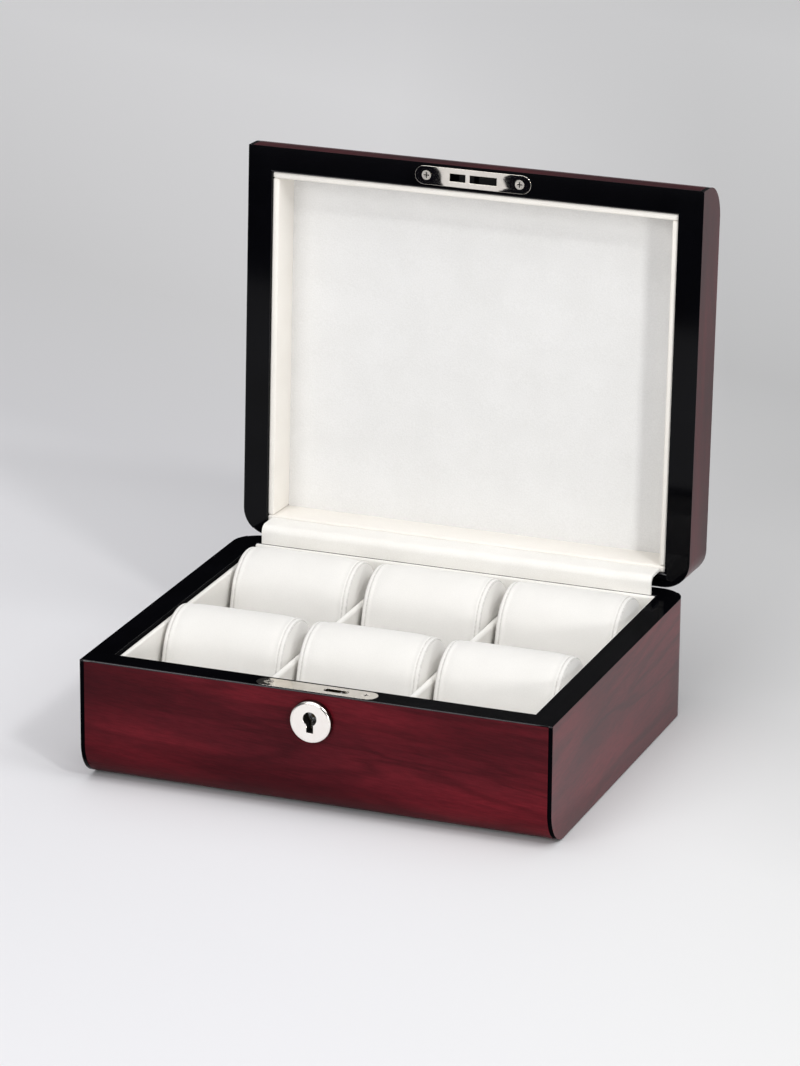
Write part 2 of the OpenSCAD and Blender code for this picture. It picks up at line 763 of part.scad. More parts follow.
module keeper_plate() color(chrome) opened() {
    difference() {
        translate([0, lock_y, closing_gap]) stadium(plate_l, plate_w, plate_t);
        translate([keeper_left, lock_y - keeper_slot_w / 2, 0])
            cube([bridge_left - keeper_left, keeper_slot_w, plate_t + over]);
        translate([bridge_right, lock_y - keeper_slot_w / 2, 0])
            cube([keeper_right - bridge_right, keeper_slot_w, plate_t + over]);
        translate([0, 0, closing_gap]) mirror([0, 0, 1]) at_plate_screws() screw_hole(plate_head_r);
    }
}

module keeper_screws() color(chrome) opened()
    translate([0, 0, closing_gap]) mirror([0, 0, 1]) at_plate_screws() screw(plate_head_r);

base_front_panel();
base_back_panel();
base_left_panel();
base_right_panel();
bottom_board();
underside_felt();
front_lining();
back_lining();
left_lining();
right_lining();
floor_lining();
long_divider();
left_cross_divider();
right_cross_divider();
front_left_cushion();
front_middle_cushion();
front_right_cushion();
back_left_cushion();
back_middle_cushion();
back_right_cushion();
lid_front_panel();
lid_back_panel();
lid_left_panel();
lid_right_panel();
lid_top_board();
lid_front_lining();
lid_back_lining();
lid_left_lining();
lid_right_lining();
lid_padded_panel();
left_hinge_base_leaf();
left_hinge_lid_leaf();
left_hinge_pin();
right_hinge_base_leaf();
right_hinge_lid_leaf();
right_hinge_pin();
base_leaf_screws();
lid_leaf_screws();
hinge_cover();
lock_plate();
lock_case();
lock_case_cover();
lock_claw();
lock_spring();
lock_plate_screws();
escutcheon();
keeper_plate();
keeper_screws();
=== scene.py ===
import json
import math

import bmesh
import bpy
from mathutils import Matrix, Vector


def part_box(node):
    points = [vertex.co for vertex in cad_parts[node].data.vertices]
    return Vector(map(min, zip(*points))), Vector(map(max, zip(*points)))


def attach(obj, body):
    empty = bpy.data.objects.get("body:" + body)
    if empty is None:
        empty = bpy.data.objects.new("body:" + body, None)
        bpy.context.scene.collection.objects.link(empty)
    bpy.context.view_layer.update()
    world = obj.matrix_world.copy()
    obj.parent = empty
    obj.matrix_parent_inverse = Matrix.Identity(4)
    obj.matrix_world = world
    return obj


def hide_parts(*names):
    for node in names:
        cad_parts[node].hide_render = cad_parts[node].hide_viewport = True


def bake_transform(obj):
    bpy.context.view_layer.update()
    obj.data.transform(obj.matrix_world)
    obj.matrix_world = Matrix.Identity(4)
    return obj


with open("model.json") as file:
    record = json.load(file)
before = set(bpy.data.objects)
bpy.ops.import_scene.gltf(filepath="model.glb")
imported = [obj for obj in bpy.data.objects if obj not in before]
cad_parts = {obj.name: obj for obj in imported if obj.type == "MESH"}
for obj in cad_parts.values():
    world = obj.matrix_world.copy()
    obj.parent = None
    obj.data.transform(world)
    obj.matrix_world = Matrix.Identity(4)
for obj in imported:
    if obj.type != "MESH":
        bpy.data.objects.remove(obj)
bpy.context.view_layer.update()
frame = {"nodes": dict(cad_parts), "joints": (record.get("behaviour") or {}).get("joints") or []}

# ---- Camera ----
# A long lens looks at the open box from its right and a little above, tipped by less than a
# degree.
eye = Vector((0.73161, -1.91275, 0.79471))
look_at = Vector((0.00423, 0.0, 0.09668))
tip = math.radians(0.4445)
lens_mm, sensor_mm = 229.3, 36
forward = (look_at - eye).normalized()
level = forward.cross(Vector((0, 0, 1))).normalized()
upright = level.cross(forward)
camera_right = level * math.cos(tip) + upright * math.sin(tip)
camera_up = upright * math.cos(tip) - level * math.sin(tip)
camera_data = bpy.data.cameras.new("camera")
camera_data.lens = lens_mm
camera_data.sensor_width = sensor_mm
camera_data.sensor_fit = "HORIZONTAL"
camera_data.clip_end = 40
camera = bpy.data.objects.new("camera", camera_data)
bpy.context.collection.objects.link(camera)
camera.matrix_world = Matrix.Translation(eye) @ Matrix(
    (
        (camera_right.x, camera_up.x, -forward.x),
        (camera_right.y, camera_up.y, -forward.y),
        (camera_right.z, camera_up.z, -forward.z),
    )
).to_4x4()
bpy.context.scene.camera = camera

# ---- Base panels ----
# Four mitred panels carry the box. Their outsides are dark red figured veneer under thick
# clear lacquer, and the rims, the inside faces and the edge strips are lacquered black.
sides = ("front", "back", "left", "right")
left_low, left_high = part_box("base_left_panel")
half_w, half_d = -left_low[0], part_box("base_back_panel")[1][1]
wall = left_high[0] - left_low[0]
foot_z, rim_z = left_low[2], left_high[2]
corner_r = 0.012  # the back's upright corners
foot_r = 0.0165  # the long rounding along the front's lower edge, and the lid's upper one
edge_soft = 0.0006  # the lacquer's roundness on sharp edges
strip_w = 0.0019  # the black strip at each end of the front


def new_material(name, rough, metallic=0.0, specular=0.5, coat=0.0, coat_ior=1.5, sheen=0.0):
    """A new material, its node tree and its shader, with the values that are even all over."""
    mat = bpy.data.materials.new(name)
    mat.use_nodes = True
    shader = mat.node_tree.nodes["Principled BSDF"]
    shader.inputs["Roughness"].default_value = rough
    shader.inputs["Metallic"].default_value = metallic
    shader.inputs["Specular IOR Level"].default_value = specular
    shader.inputs["Coat Weight"].default_value = coat
    shader.inputs["Coat Roughness"].default_value = 0.025
    shader.inputs["Coat IOR"].default_value = coat_ior
    shader.inputs["Sheen Weight"].default_value = sheen
    return mat, mat.node_tree, shader


def add(tree, kind, **values):
    node = tree.nodes.new(kind)
    for key, value in values.items():
        setattr(node, key, value)
    return node


def stretched(tree, lengths, turned=(0, 0, 0), moved=(0, 0, 0)):
    """Object coordinates moved and turned, then drawn out by a length along each axis."""
    where = add(tree, "ShaderNodeTexCoord")
    mapping = add(tree, "ShaderNodeMapping", vector_type="TEXTURE")
    mapping.inputs["Rotation"].default_value = [math.radians(angle) for angle in turned]
    mapping.inputs["Location"].default_value = moved
    mapping.inputs["Scale"].default_value = lengths
    tree.links.new(where.outputs["Object"], mapping.inputs["Vector"])
    return mapping.outputs["Vector"]


def noise(tree, vector, scale, detail=3.0, rough=0.5, distort=0.0):
    node = add(tree, "ShaderNodeTexNoise")
    node.inputs["Scale"].default_value = scale
    node.inputs["Detail"].default_value = detail
    node.inputs["Roughness"].default_value = rough
    node.inputs["Distortion"].default_value = distort
    tree.links.new(vector, node.inputs["Vector"])
    return node.outputs["Fac"]


def ramp(tree, factor, stops):
    """Colours at their places along a factor."""
    node = add(tree, "ShaderNodeValToRGB")
    elements = node.color_ramp.elements
    while len(elements) < len(stops):
        elements.new(0.5)
    for element, (place, colour) in zip(elements, stops):
        element.position = place
        element.color = (*colour, 1)
    tree.links.new(factor, node.inputs["Fac"])
    return node.outputs["Color"]


def mixed(tree, factor, a, b, how="MIX"):
    node = add(tree, "ShaderNodeMix", data_type="RGBA", blend_type=how)
    factor_in, a_in, b_in, colour_out = node.inputs[0], node.inputs[6], node.inputs[7], node.outputs[2]
    for socket, value in ((factor_in, factor), (a_in, a), (b_in, b)):
        if isinstance(value, bpy.types.NodeSocket):
            tree.links.new(value, socket)
        else:
            socket.default_value = value if isinstance(value, float) else (*value, 1)
    return colour_out


def bumped(tree, shader, height, distance, strength=1.0):
    node = add(tree, "ShaderNodeBump")
    node.inputs["Strength"].default_value = strength
    node.inputs["Distance"].default_value = distance
    tree.links.new(height, node.inputs["Height"])
    tree.links.new(node.outputs["Normal"], shader.inputs["Normal"])


def veneer(name, grain, slant, gloss, depth=1.0, moved=(0, 0, 0)):
    """Lacquered veneer whose figure runs along one axis, 'x', 'y' or 'z', at a slight slant.

    Broad clouds, softer streaks, thin dark veins and fine pores lie over each other. The gloss
    is the coat's weight, and depth scales the ground's colours.
    """
    mat, tree, shader = new_material(name, 0.4, specular=0.05, coat=gloss, coat_ior=1.3)

    def along(length):
        return {"x": (length, 1, 1), "y": (1, length, 1), "z": (1, 1, length)}[grain]

    cloud = noise(tree, stretched(tree, along(2.2), slant, moved), 17, 1.5, 0.45, 0.3)
    figure = noise(tree, stretched(tree, along(6), slant), 62, 2.4, 0.5, 0.4)
    vein = noise(tree, stretched(tree, along(9), slant), 52, 2.6, 0.5, 0.9)
    pores = noise(tree, stretched(tree, along(9), slant), 1300, 2.5, 0.65)
    ground = ramp(
        tree,
        cloud,
        (
            (0.34, (0.036 * depth, 0.0018 * depth, 0.0042 * depth)),
            (0.48, (0.064 * depth, 0.0036 * depth, 0.0072 * depth)),
            (0.62, (0.096 * depth, 0.0060 * depth, 0.0110 * depth)),
        ),
    )
    streaks = ramp(tree, figure, ((0.36, (0.76, 0.76, 0.80)), (0.62, (1.18, 1.15, 1.12))))
    white = (1, 1, 1)
    vein_stops = ((0.44, white), (0.49, (0.70, 0.64, 0.68)), (0.51, (0.72, 0.66, 0.70)), (0.56, white))
    veins = ramp(tree, vein, vein_stops)
    where_veins = ramp(tree, cloud, ((0.42, (0, 0, 0)), (0.56, white)))
    lines = ramp(tree, pores, ((0.36, (0.84, 0.82, 0.84)), (0.62, (1.10, 1.08, 1.08))))
    colour = mixed(tree, 1.0, ground, streaks, "MULTIPLY")
    colour = mixed(tree, where_veins, colour, mixed(tree, 1.0, colour, veins, "MULTIPLY"))
    colour = mixed(tree, 1.0, colour, lines, "MULTIPLY")
    tree.links.new(colour, shader.inputs["Base Color"])
    return mat


def black_lacquer(name, gloss):
    """Near-black lacquer, very slightly cloudy."""
    mat, tree, shader = new_material(name, 0.07, specular=gloss)
    cloudy = noise(tree, stretched(tree, (1, 1, 1)), 40, 2.0)
    tree.links.new(
        ramp(tree, cloudy, ((0.3, (0.0009, 0.0009, 0.0014)), (0.7, (0.0018, 0.0018, 0.0026)))),
        shader.inputs["Base Color"],
    )
    return mat


base_black = black_lacquer("base_black", 0.003)
# The eased rim edges get a lighter lacquer: partly wear, partly a painted highlight where the rounded
# edge catches the light.
edge_wear_and_highlight, tree, shader = new_material("edge_wear_and_highlight", 0.10, specular=0.4)
cloudy = noise(tree, stretched(tree, (1, 1, 1)), 160, 3.0)
tree.links.new(
    ramp(tree, cloudy, ((0.35, (0.004, 0.004, 0.005)), (0.7, (0.020, 0.019, 0.022)))),
    shader.inputs["Base Color"],
)
slant_x, slant_y = (0, 4, 0), (3, 0, 0)
front_gloss = 0.22
front_veneer = veneer("front_veneer", "x", slant_x, front_gloss, moved=(-0.09, 0, 0))
back_veneer = veneer("back_veneer", "x", slant_x, 0.6, depth=0.7)
side_veneer = veneer("side_veneer", "y", slant_y, 0.6)

# The front's coat thins out towards the foot, where the rounding turns to the floor.
tree = front_veneer.node_tree
height = add(tree, "ShaderNodeSeparateXYZ")
tree.links.new(stretched(tree, (1, 1, 1)), height.inputs["Vector"])
polish = add(tree, "ShaderNodeMapRange")
for end, value in (("From Min", 0.005), ("From Max", 0.024), ("To Min", 0.02), ("To Max", front_gloss)):
    polish.inputs[end].default_value = value
tree.links.new(height.outputs["Z"], polish.inputs["Value"])
tree.links.new(polish.outputs["Result"], tree.nodes["Principled BSDF"].inputs["Coat Weight"])


def link_mesh(name, bm, materials, smooth=30):
    """New object from a bmesh, shaded smooth except at edges sharper than smooth degrees."""
    mesh = bpy.data.meshes.new(name)
    bm.to_mesh(mesh)
    bm.free()
    for mat in materials:
        mesh.materials.append(mat)
    for face in mesh.polygons:
        face.use_smooth = True
    mesh.set_sharp_from_angle(angle=math.radians(smooth))
    piece = bpy.data.objects.new(name, mesh)
    bpy.context.collection.objects.link(piece)
    return piece


def from_node(node, turn=None):
    """A node's mesh as flat faces, turned into the position that it is worked in."""
    source = frame["nodes"][node]
    bm = bmesh.new()
    bm.from_mesh(source.data)
    bm.transform((turn or Matrix()) @ source.matrix_world)
    same_place, flat = 2.5e-5, math.radians(0.4)
    bmesh.ops.remove_doubles(bm, verts=bm.verts, dist=same_place)
    bmesh.ops.dissolve_limit(
        bm, angle_limit=flat, verts=bm.verts, edges=bm.edges, delimit={"NORMAL"}
    )
    bm.normal_update()
    return bm


def outline_gap(point, back_wall):
    """How far a point of a wall is from the box's outline and from its inner rectangle."""
    x, y = abs(point.x), point.y
    outer = min(half_w - x, y + half_d, half_d - y)
    if x > half_w - corner_r and y > half_d - corner_r:
        away = Vector((x - half_w + corner_r, y - half_d + corner_r)).length
        outer = corner_r - away
    inner = max(x - half_w + wall, -half_d + wall - y, y - half_d + back_wall)
    return abs(outer), abs(inner)


def is_mitre(face):
    """True on the slanted end of a wall, from its outside to its inside."""
    xs = [v.co.x for v in face.verts]
    ys = [v.co.y for v in face.verts]
    diagonal = abs(face.normal.x) > 0.2 and abs(face.normal.y) > 0.2 and abs(face.normal.z) < 0.01
    return diagonal and max(xs) - min(xs) > 0.005 and max(ys) - min(ys) > 0.003


def soften_walls(bm, back_wall, levels, radius):
    """Rounds a wall's long edges at the given heights, but not its mitres or its pockets."""
    level_gap, line_gap, sharp = 3e-5, 5e-5, math.radians(40)
    chosen = []
    for edge in bm.edges:
        if len(edge.link_faces) != 2 or any(is_mitre(face) for face in edge.link_faces):
            continue
        ends = [v.co for v in edge.verts]
        at_level = any(all(abs(end.z - z) < level_gap for end in ends) for z in levels)
        on_line = all(min(outline_gap(end, back_wall)) < line_gap for end in ends)
        if at_level and on_line and edge.calc_face_angle(0) > sharp:
            chosen.append(edge)
    bmesh.ops.bevel(
        bm, geom=chosen, offset=radius, segments=3, profile=0.5, affect="EDGES", clamp_overlap=True
    )
    bm.normal_update()


def cut_strips(bm):
    """Cuts a wall where the black strips at the ends of the front begin."""
    for side in (-1, 1):
        bmesh.ops.bisect_plane(
            bm,
            geom=bm.verts[:] + bm.edges[:] + bm.faces[:],
            plane_co=(side * (half_w - strip_w), 0, 0),
            plane_no=(1, 0, 0),
        )
    bm.normal_update()


# How far a face's middle may lie from the flat surface or the rounding that it is counted to.
outside_gap, rounding_gap = 3e-4, 5e-4
front_slot, side_slot, back_slot, black_slot, edge_slot = range(5)


def on_front(point, rim, far_level):
    """True on the front's flat face and on the long rounding along its far edge."""
    way = math.copysign(1, rim - far_level)
    past = way * (far_level + way * foot_r - point.z)
    if past < 0:
        return abs(point.y + half_d) < outside_gap
    return abs(math.hypot(point.y + half_d - foot_r, past) - foot_r) < rounding_gap


def paint_walls(bm, back_wall, rim, far_level):
    """Veneer on the outside and the lid's top, black elsewhere, and a lighter lacquer on the eased rim
    edges: partly wear, partly a painted highlight.
    """
    for face in bm.faces:
        middle, normal = face.calc_center_median(), face.normal
        front = on_front(middle, rim, far_level) and normal.y < -0.02 and abs(normal.x) < 0.5
        outside = outline_gap(middle, back_wall)[0] < outside_gap or front
        at_rim = abs(middle.z - rim) < 1.05 * edge_soft
        on_top = far_level > rim and middle.z > far_level - 1e-4
        strip = front and abs(middle.x) > half_w - strip_w
        level = abs(normal.z) > 0.9995
        if at_rim and 0.1 < abs(normal.z) < 0.98:
            face.material_index = edge_slot
        elif on_top and not strip:
            face.material_index = back_slot
        elif is_mitre(face) or at_rim or strip or not outside or level:
            face.material_index = black_slot
        elif abs(normal.x) > 0.7:
            face.material_index = side_slot
        else:
            face.material_index = front_slot if front else back_slot


def wall_piece(node, name, body, shape, finishes, turn=None):
    """One mitred panel: its solid with eased edges, veneer outside and black elsewhere."""
    back_wall, rim, far_level = shape
    bm = from_node(node, turn)
    soften_walls(bm, back_wall, (rim, far_level), edge_soft)
    cut_strips(bm)
    paint_walls(bm, back_wall, rim, far_level)
    if turn:
        bm.transform(turn.inverted())
    panel = link_mesh(name, bm, finishes)
    flat_light = panel.modifiers.new("flat_faces", "WEIGHTED_NORMAL")
    flat_light.keep_sharp = True
    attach(panel, body)
    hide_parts(node)


for side in sides:
    wall_piece(
        f"base_{side}_panel", f"base_{side}", "box", (wall, rim_z, foot_z),
        (front_veneer, side_veneer, back_veneer, base_black, edge_wear_and_highlight),
    )

# ---- Bottom board and felt ----
# A plain dark board fills the bottom between the panels. Black felt is glued under it, so the
# box stands a little above the table.
dark_board, tree, shader = new_material("dark_board", 0.6)
grain = noise(tree, stretched(tree, (10, 1, 1)), 300, 3.0)
tree.links.new(
    ramp(tree, grain, ((0.3, (0.012, 0.010, 0.011)), (0.7, (0.022, 0.018, 0.019)))),
    shader.inputs["Base Color"],
)
black_felt, tree, shader = new_material("black_felt", 0.95, specular=0.1, sheen=0.3)
fibres = noise(tree, stretched(tree, (1, 1, 1)), 1800, 3.0, 0.7)
tree.links.new(
    ramp(tree, fibres, ((0.3, (0.010, 0.010, 0.011)), (0.7, (0.028, 0.028, 0.030)))),
    shader.inputs["Base Color"],
)
bumped(tree, shader, fibres, 0.0003)


def finish_node(node, mat):
    """Gives a node that keeps its CAD shape its own finish."""
    piece = frame["nodes"][node]
    if not piece.material_slots:
        piece.data.materials.append(mat)
    for material_slot in piece.material_slots:
        material_slot.material = mat


finish_node("bottom_board", dark_board)
finish_node("underside_felt", black_felt)

# ---- Linings and dividers of the base ----
# Thin cards wrapped in short-pile cream cloth stand against the walls and lie on the floor.
# Three more make the grid, halved together where they cross. The cloth rounds their edges.
def cloth(name, low, high, weave, pile):
    """Short-pile cloth: fine colour speckle, a soft bump and a little sheen."""
    mat, tree, shader = new_material(name, 0.92, specular=0.15, sheen=pile)
    shader.inputs["Sheen Roughness"].default_value = 0.5
    place = stretched(tree, (1, 1, 1))
    speckle = noise(tree, place, weave, 2.0, 0.6)
    drift = noise(tree, place, 55, 2.0, 0.5)
    both = mixed(tree, 0.35, speckle, drift)
    tree.links.new(ramp(tree, both, ((0.32, low), (0.66, high))), shader.inputs["Base Color"])
    bumped(tree, shader, speckle, 0.00012, 0.7)
    return mat


cream_cloth = cloth("cream_cloth", (0.775, 0.755, 0.715), (0.85, 0.835, 0.80), 2600, 0.25)


def round_edges(bm, angle, radius, segments):
    """Rounds every edge that is sharper than an angle in degrees."""
    sharp = [
        edge
        for edge in bm.edges
        if len(edge.link_faces) == 2 and edge.calc_face_angle(0) > math.radians(angle)
    ]
    bmesh.ops.bevel(
        bm, geom=sharp, offset=radius, segments=segments, profile=0.5, affect="EDGES", clamp_overlap=True
    )


def wrapped_card(node, name, body, radius, mat, turn=None):
    """A card in cloth: the node's own solid with every edge rounded by the cloth."""
    bm = from_node(node, turn)
    round_edges(bm, 50, radius, 3)
    if turn:
        bm.transform(turn.inverted())
    card = link_mesh(name, bm, [mat], 40)
    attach(card, body)
    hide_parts(node)


for side in sides:
    wrapped_card(f"{side}_lining", f"{side}_card", "box", 0.0008, cream_cloth)
wrapped_card("floor_lining", "floor_card", "box", 0.0006, cream_cloth)
for node in ("long_divider", "left_cross_divider", "right_cross_divider"):
    wrapped_card(node, f"{node}_card", "box", 0.0004, cream_cloth)

# ---- Cushions ----
# Six loose cushions, one in each place: a stuffed roll of cream velvet with a swollen panel
# on each end. A flush cord is sewn between roll and panel, with a fine stitch line each side.
velvet = cloth("cream_velvet", (0.73, 0.715, 0.685), (0.79, 0.775, 0.745), 3400, 0.5)
# The stitch lines' faces are a darker beige: partly the thread's colour, partly painted shade in the
# grooves.
stitch_thread_and_shade, tree, shader = new_material("stitch_thread_and_shade", 1.0, specular=0.0)
stitch_shade_speckle = noise(tree, stretched(tree, (1, 1, 1)), 900, 2.0)
tree.links.new(
    ramp(tree, stitch_shade_speckle, ((0.35, (0.58, 0.565, 0.54)), (0.65, (0.68, 0.665, 0.64)))),
    shader.inputs["Base Color"],
)
points_round = 80  # corners of each ring of a cushion's mesh
roll_stations = 9  # rings between the two seams
swell = 0.0028  # how far an end panel swells past its seam
slack = 0.0008  # how far the cloth lies inside its full shape before it is blown up
stitch_at = 0.0009  # from the cord's middle to the stitch line on each side
# From the roll over the seam to the middle of the end panel: how far past the cord a ring of
# the mesh lies, how far inside the roll's outline it is, and whether the sewing holds it.
end_rings = (
    (-0.0125, 0.0, False),
    (-0.0085, 0.0, False),
    (-0.0060, 0.0001, False),
    (-0.0042, 0.0003, False),
    (-0.0028, 0.00065, False),
    (-0.0018, 0.0010, True),
    (-0.0011, 0.0013, True),
    (-stitch_at, 0.0016, True),
    (-0.00065, 0.0014, True),
    (0.0, 0.00135, True),
    (0.00065, 0.0016, True),
    (stitch_at, 0.0020, True),
    (0.0011, 0.0020, True),
    (0.0017, 0.0031, False),
    (0.0022, 0.0049, False),
    (0.0026, 0.0078, False),
    (0.00275, 0.0115, False),
    (swell, 0.0155, False),
)


def cushion_outline(low, high):
    """Side outline of a cushion between its lowest and highest corner: (y, z) points."""
    crown_r, belly_r, heel_r, fine = 0.020, 0.016, 0.010, 720
    rounds = (
        (Vector((high.y - crown_r, high.z - crown_r)), crown_r),
        (Vector((low.y + belly_r, low.z + belly_r)), belly_r),
        (Vector((high.y - heel_r, low.z + heel_r)), heel_r),
    )
    edge = []
    for k in range(fine):
        way = Vector((math.cos(math.tau * k / fine), math.sin(math.tau * k / fine)))
        centre, r = max(rounds, key=lambda c: c[0].dot(way) + c[1])
        edge.append(centre + r * way)
    steps = [(edge[(k + 1) % fine] - edge[k]).length for k in range(fine)]
    even, k, run = [], 0, 0.0
    for n in range(points_round):
        want = sum(steps) * n / points_round
        while run + steps[k] < want:
            run += steps[k]
            k += 1
        even.append(edge[k].lerp(edge[(k + 1) % fine], (want - run) / steps[k]))
    return even


def drawn_in(edge, distance):
    """The outline moved inwards, square to itself at first, then shrunk towards its middle."""
    square, shrunk = 0.008, 0.014
    middle = sum(edge, Vector((0, 0))) / len(edge)
    moved = []
    for k, p in enumerate(edge):
        along = (edge[(k + 1) % len(edge)] - edge[k - 1]).normalized()
        moved.append(p - Vector((along.y, -along.x)) * min(distance, square))
    left = 1 - max(0.0, distance - square) / shrunk
    return [middle + (p - middle) * left for p in moved]


def cushion_mesh(low, high, pucker):
    """Rings of the cushion from its left end to its right end, and which rings are held."""
    crease, crease_start, crease_end = 0.00016, 0.006, 0.0012
    mid_x, seam_x = (low.x + high.x) / 2, (high.x - low.x) / 2 - swell
    edge = cushion_outline(low, high)
    half = [(seam_x + past, inside, held) for past, inside, held in end_rings]
    first = half[0][0]
    rolls = [
        (first * (2 * k / (roll_stations + 1) - 1), 0.0, False) for k in range(1, roll_stations + 1)
    ]
    stations = [(-x, inside, held) for x, inside, held in half[::-1]] + rolls + half
    rings = []
    for x, inside, held in stations:
        from_seam = abs(x) - seam_x
        ring = drawn_in(edge, inside if held else inside + slack)
        middle = sum(ring, Vector((0, 0))) / points_round
        creased = 0.0
        if -crease_start < from_seam < -crease_end:
            creased = crease * (1 - (-from_seam - crease_end) / (crease_start - crease_end))
        made = []
        for k, p in enumerate(ring):
            a = math.tau * k / points_round
            fold = creased * math.sin(13 * a + pucker + (2 if x > 0 else 0)) * math.sin(5 * a - pucker)
            inward = (middle - p).normalized()
            p = p + inward * fold
            made.append(Vector((mid_x + x, p.x, p.y)))
        rings.append(made)
    return rings, [held for x, inside, held in stations]


def blown_up(piece, held):
    """Blows a cushion up as cloth, with its seams held, and keeps the shape that it takes."""
    sewing = piece.vertex_groups.new(name="sewing")
    rows = [r for r, fixed in enumerate(held) if fixed]
    sewing.add([r * points_round + k for r in rows for k in range(points_round)], 1.0, "ADD")
    rest = [v.co.copy() for v in piece.data.vertices]
    sim = piece.modifiers.new("stuffing", "CLOTH")
    sim.settings.quality = 6
    sim.settings.vertex_group_mass = "sewing"
    sim.settings.use_pressure = True
    sim.settings.uniform_pressure_force = 4.0
    sim.settings.tension_stiffness = 30
    sim.settings.compression_stiffness = 30
    sim.settings.shear_stiffness = 10
    sim.settings.bending_stiffness = 2.0
    sim.settings.effector_weights.gravity = 0
    for step in range(1, 21):
        bpy.context.scene.frame_set(step)
    shaped = piece.evaluated_get(bpy.context.evaluated_depsgraph_get()).to_mesh()
    blown = [v.co.copy() for v in shaped.vertices]
    piece.modifiers.remove(sim)
    bpy.context.scene.frame_set(1)
    most = 1.1 * slack
    for vertex, start, end in zip(piece.data.vertices, rest, blown):
        move = end - start
        if move.length > 1e-7:
            vertex.co = start + move.normalized() * most * math.tanh(move.length / most)


def stuffed(name, low, high, pucker):
    """Closed cushion: it starts slack and is then blown up. Its stitch lines are slot 1, thread colour
    with painted shade in the grooves.
    """
    rings, held = cushion_mesh(low, high, pucker)
    bm = bmesh.new()
    grid = [[bm.verts.new(p) for p in ring] for ring in rings]
    stitched = [k for k, (past, _, _) in enumerate(end_rings[::-1]) if abs(past) == stitch_at]
    sewn = stitched + [k - 1 for k in stitched]
    for r, (a, b) in enumerate(zip(grid, grid[1:])):
        near = min(r, len(grid) - 2 - r)
        for k in range(points_round):
            n = (k + 1) % points_round
            face = bm.faces.new((a[k], a[n], b[n], b[k]))
            face.material_index = 1 if near in sewn else 0
    for ring in (grid[0], grid[-1]):
        hub = bm.verts.new(sum((v.co for v in ring), Vector()) / points_round)
        for k in range(points_round):
            bm.faces.new((hub, ring[(k + 1) % points_round], ring[k]))
    bmesh.ops.recalc_face_normals(bm, faces=bm.faces)
    piece = link_mesh(name, bm, [velvet, stitch_thread_and_shade], 180)
    blown_up(piece, held)
    smoother = piece.modifiers.new("smooth_cloth", "SUBSURF")
    smoother.levels = smoother.render_levels = 1
    return piece


for row in ("front", "back"):
    for column in ("left", "middle", "right"):
        node = f"{row}_{column}_cushion"
        low, high = (Vector(corner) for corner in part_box(node))
        pucker = 1.7 * ("left", "middle", "right").index(column) + (0.8 if row == "back" else 0.0)
        pillow = stuffed(f"{row}_{column}_pillow", low, high, pucker)
        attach(pillow, f"{row}_{column}_roll")
        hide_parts(node)

# ---- Hinges ----
# Two polished brass butt hinges with stop lugs hold the lid. Their leaves are let into the
# rims and each is fixed with two small countersunk screws.
def metal(name, low, high, rough, wear=0.06):
    """Plated or polished metal: faint cloudiness in its colour and its polish."""
    mat, tree, shader = new_material(name, rough, metallic=1.0)
    place = stretched(tree, (1, 1, 1))
    haze = noise(tree, place, 240, 3.0, 0.6)
    scratch = noise(tree, stretched(tree, (20, 1, 1)), 2600, 2.0, 0.5)
    tree.links.new(ramp(tree, haze, ((0.3, low), (0.7, high))), shader.inputs["Base Color"])
    rubbed = add(tree, "ShaderNodeMapRange")
    rubbed.inputs["To Min"].default_value = rough
    rubbed.inputs["To Max"].default_value = rough + wear
    tree.links.new(scratch, rubbed.inputs["Value"])
    tree.links.new(rubbed.outputs["Result"], shader.inputs["Roughness"])
    return mat


hinge_brass = metal("hinge_brass", (0.66, 0.46, 0.20), (0.78, 0.57, 0.27), 0.16)
for side in ("left", "right"):
    for part in ("base_leaf", "lid_leaf", "pin"):
        finish_node(f"{side}_hinge_{part}", hinge_brass)
finish_node("base_leaf_screws", hinge_brass)
finish_node("lid_leaf_screws", hinge_brass)

# ---- Lid panels and top board ----
# The lid is built like the base, four mitred panels round a thin board, in the same veneer.
# It is worked on here as if shut and is then turned open about the hinge pins.
lid_hinge = next(joint for joint in frame["joints"] if joint["name"] == "lid_hinge")
open_angle = math.radians(-lid_hinge["range_deg"][0])
hinge_line = Vector(lid_hinge["pos_m"])
opened = (
    Matrix.Translation(hinge_line)
    @ Matrix.Rotation(-open_angle, 4, "X")
    @ Matrix.Translation(-hinge_line)
)
shut = opened.inverted()


def shut_box(node):
    """The lowest and highest corner of one of the lid's nodes when the lid is shut."""
    solid = frame["nodes"][node]
    points = [shut @ solid.matrix_world @ v.co for v in solid.data.vertices]
    return [Vector([end(p[k] for p in points) for k in range(3)]) for end in (min, max)]


side_low, side_high = shut_box("lid_left_panel")
lid_rim, lid_top = side_low.z, side_high.z
lid_back_wall = half_d - shut_box("lid_back_panel")[0].y
lid_side_veneer = veneer("lid_side_veneer", "z", slant_y, 0.4)
lid_black = black_lacquer("lid_black", 0.10)
for side in sides:
    wall_piece(
        f"lid_{side}_panel", f"lid_{side}", "lid", (lid_back_wall, lid_rim, lid_top),
        (back_veneer, lid_side_veneer, back_veneer, lid_black, edge_wear_and_highlight), shut,
    )
finish_node("lid_top_board", back_veneer)

# ---- Linings and padded panel of the lid ----
# Padded cards in fine off-white cloth line the lid's walls, and a wider padded panel fills
# its top. Their edges turn in softly where they meet.
woven = cloth("off_white_weave", (0.725, 0.72, 0.705), (0.785, 0.78, 0.77), 1500, 0.15)
warm_cloth = cloth("lid_wall_cloth", (0.80, 0.765, 0.71), (0.86, 0.83, 0.78), 2600, 0.2)
for side in sides:
    card = f"lid_{side}_card"
    wrapped_card(f"lid_{side}_lining", card, "lid", 0.0009, warm_cloth, shut)

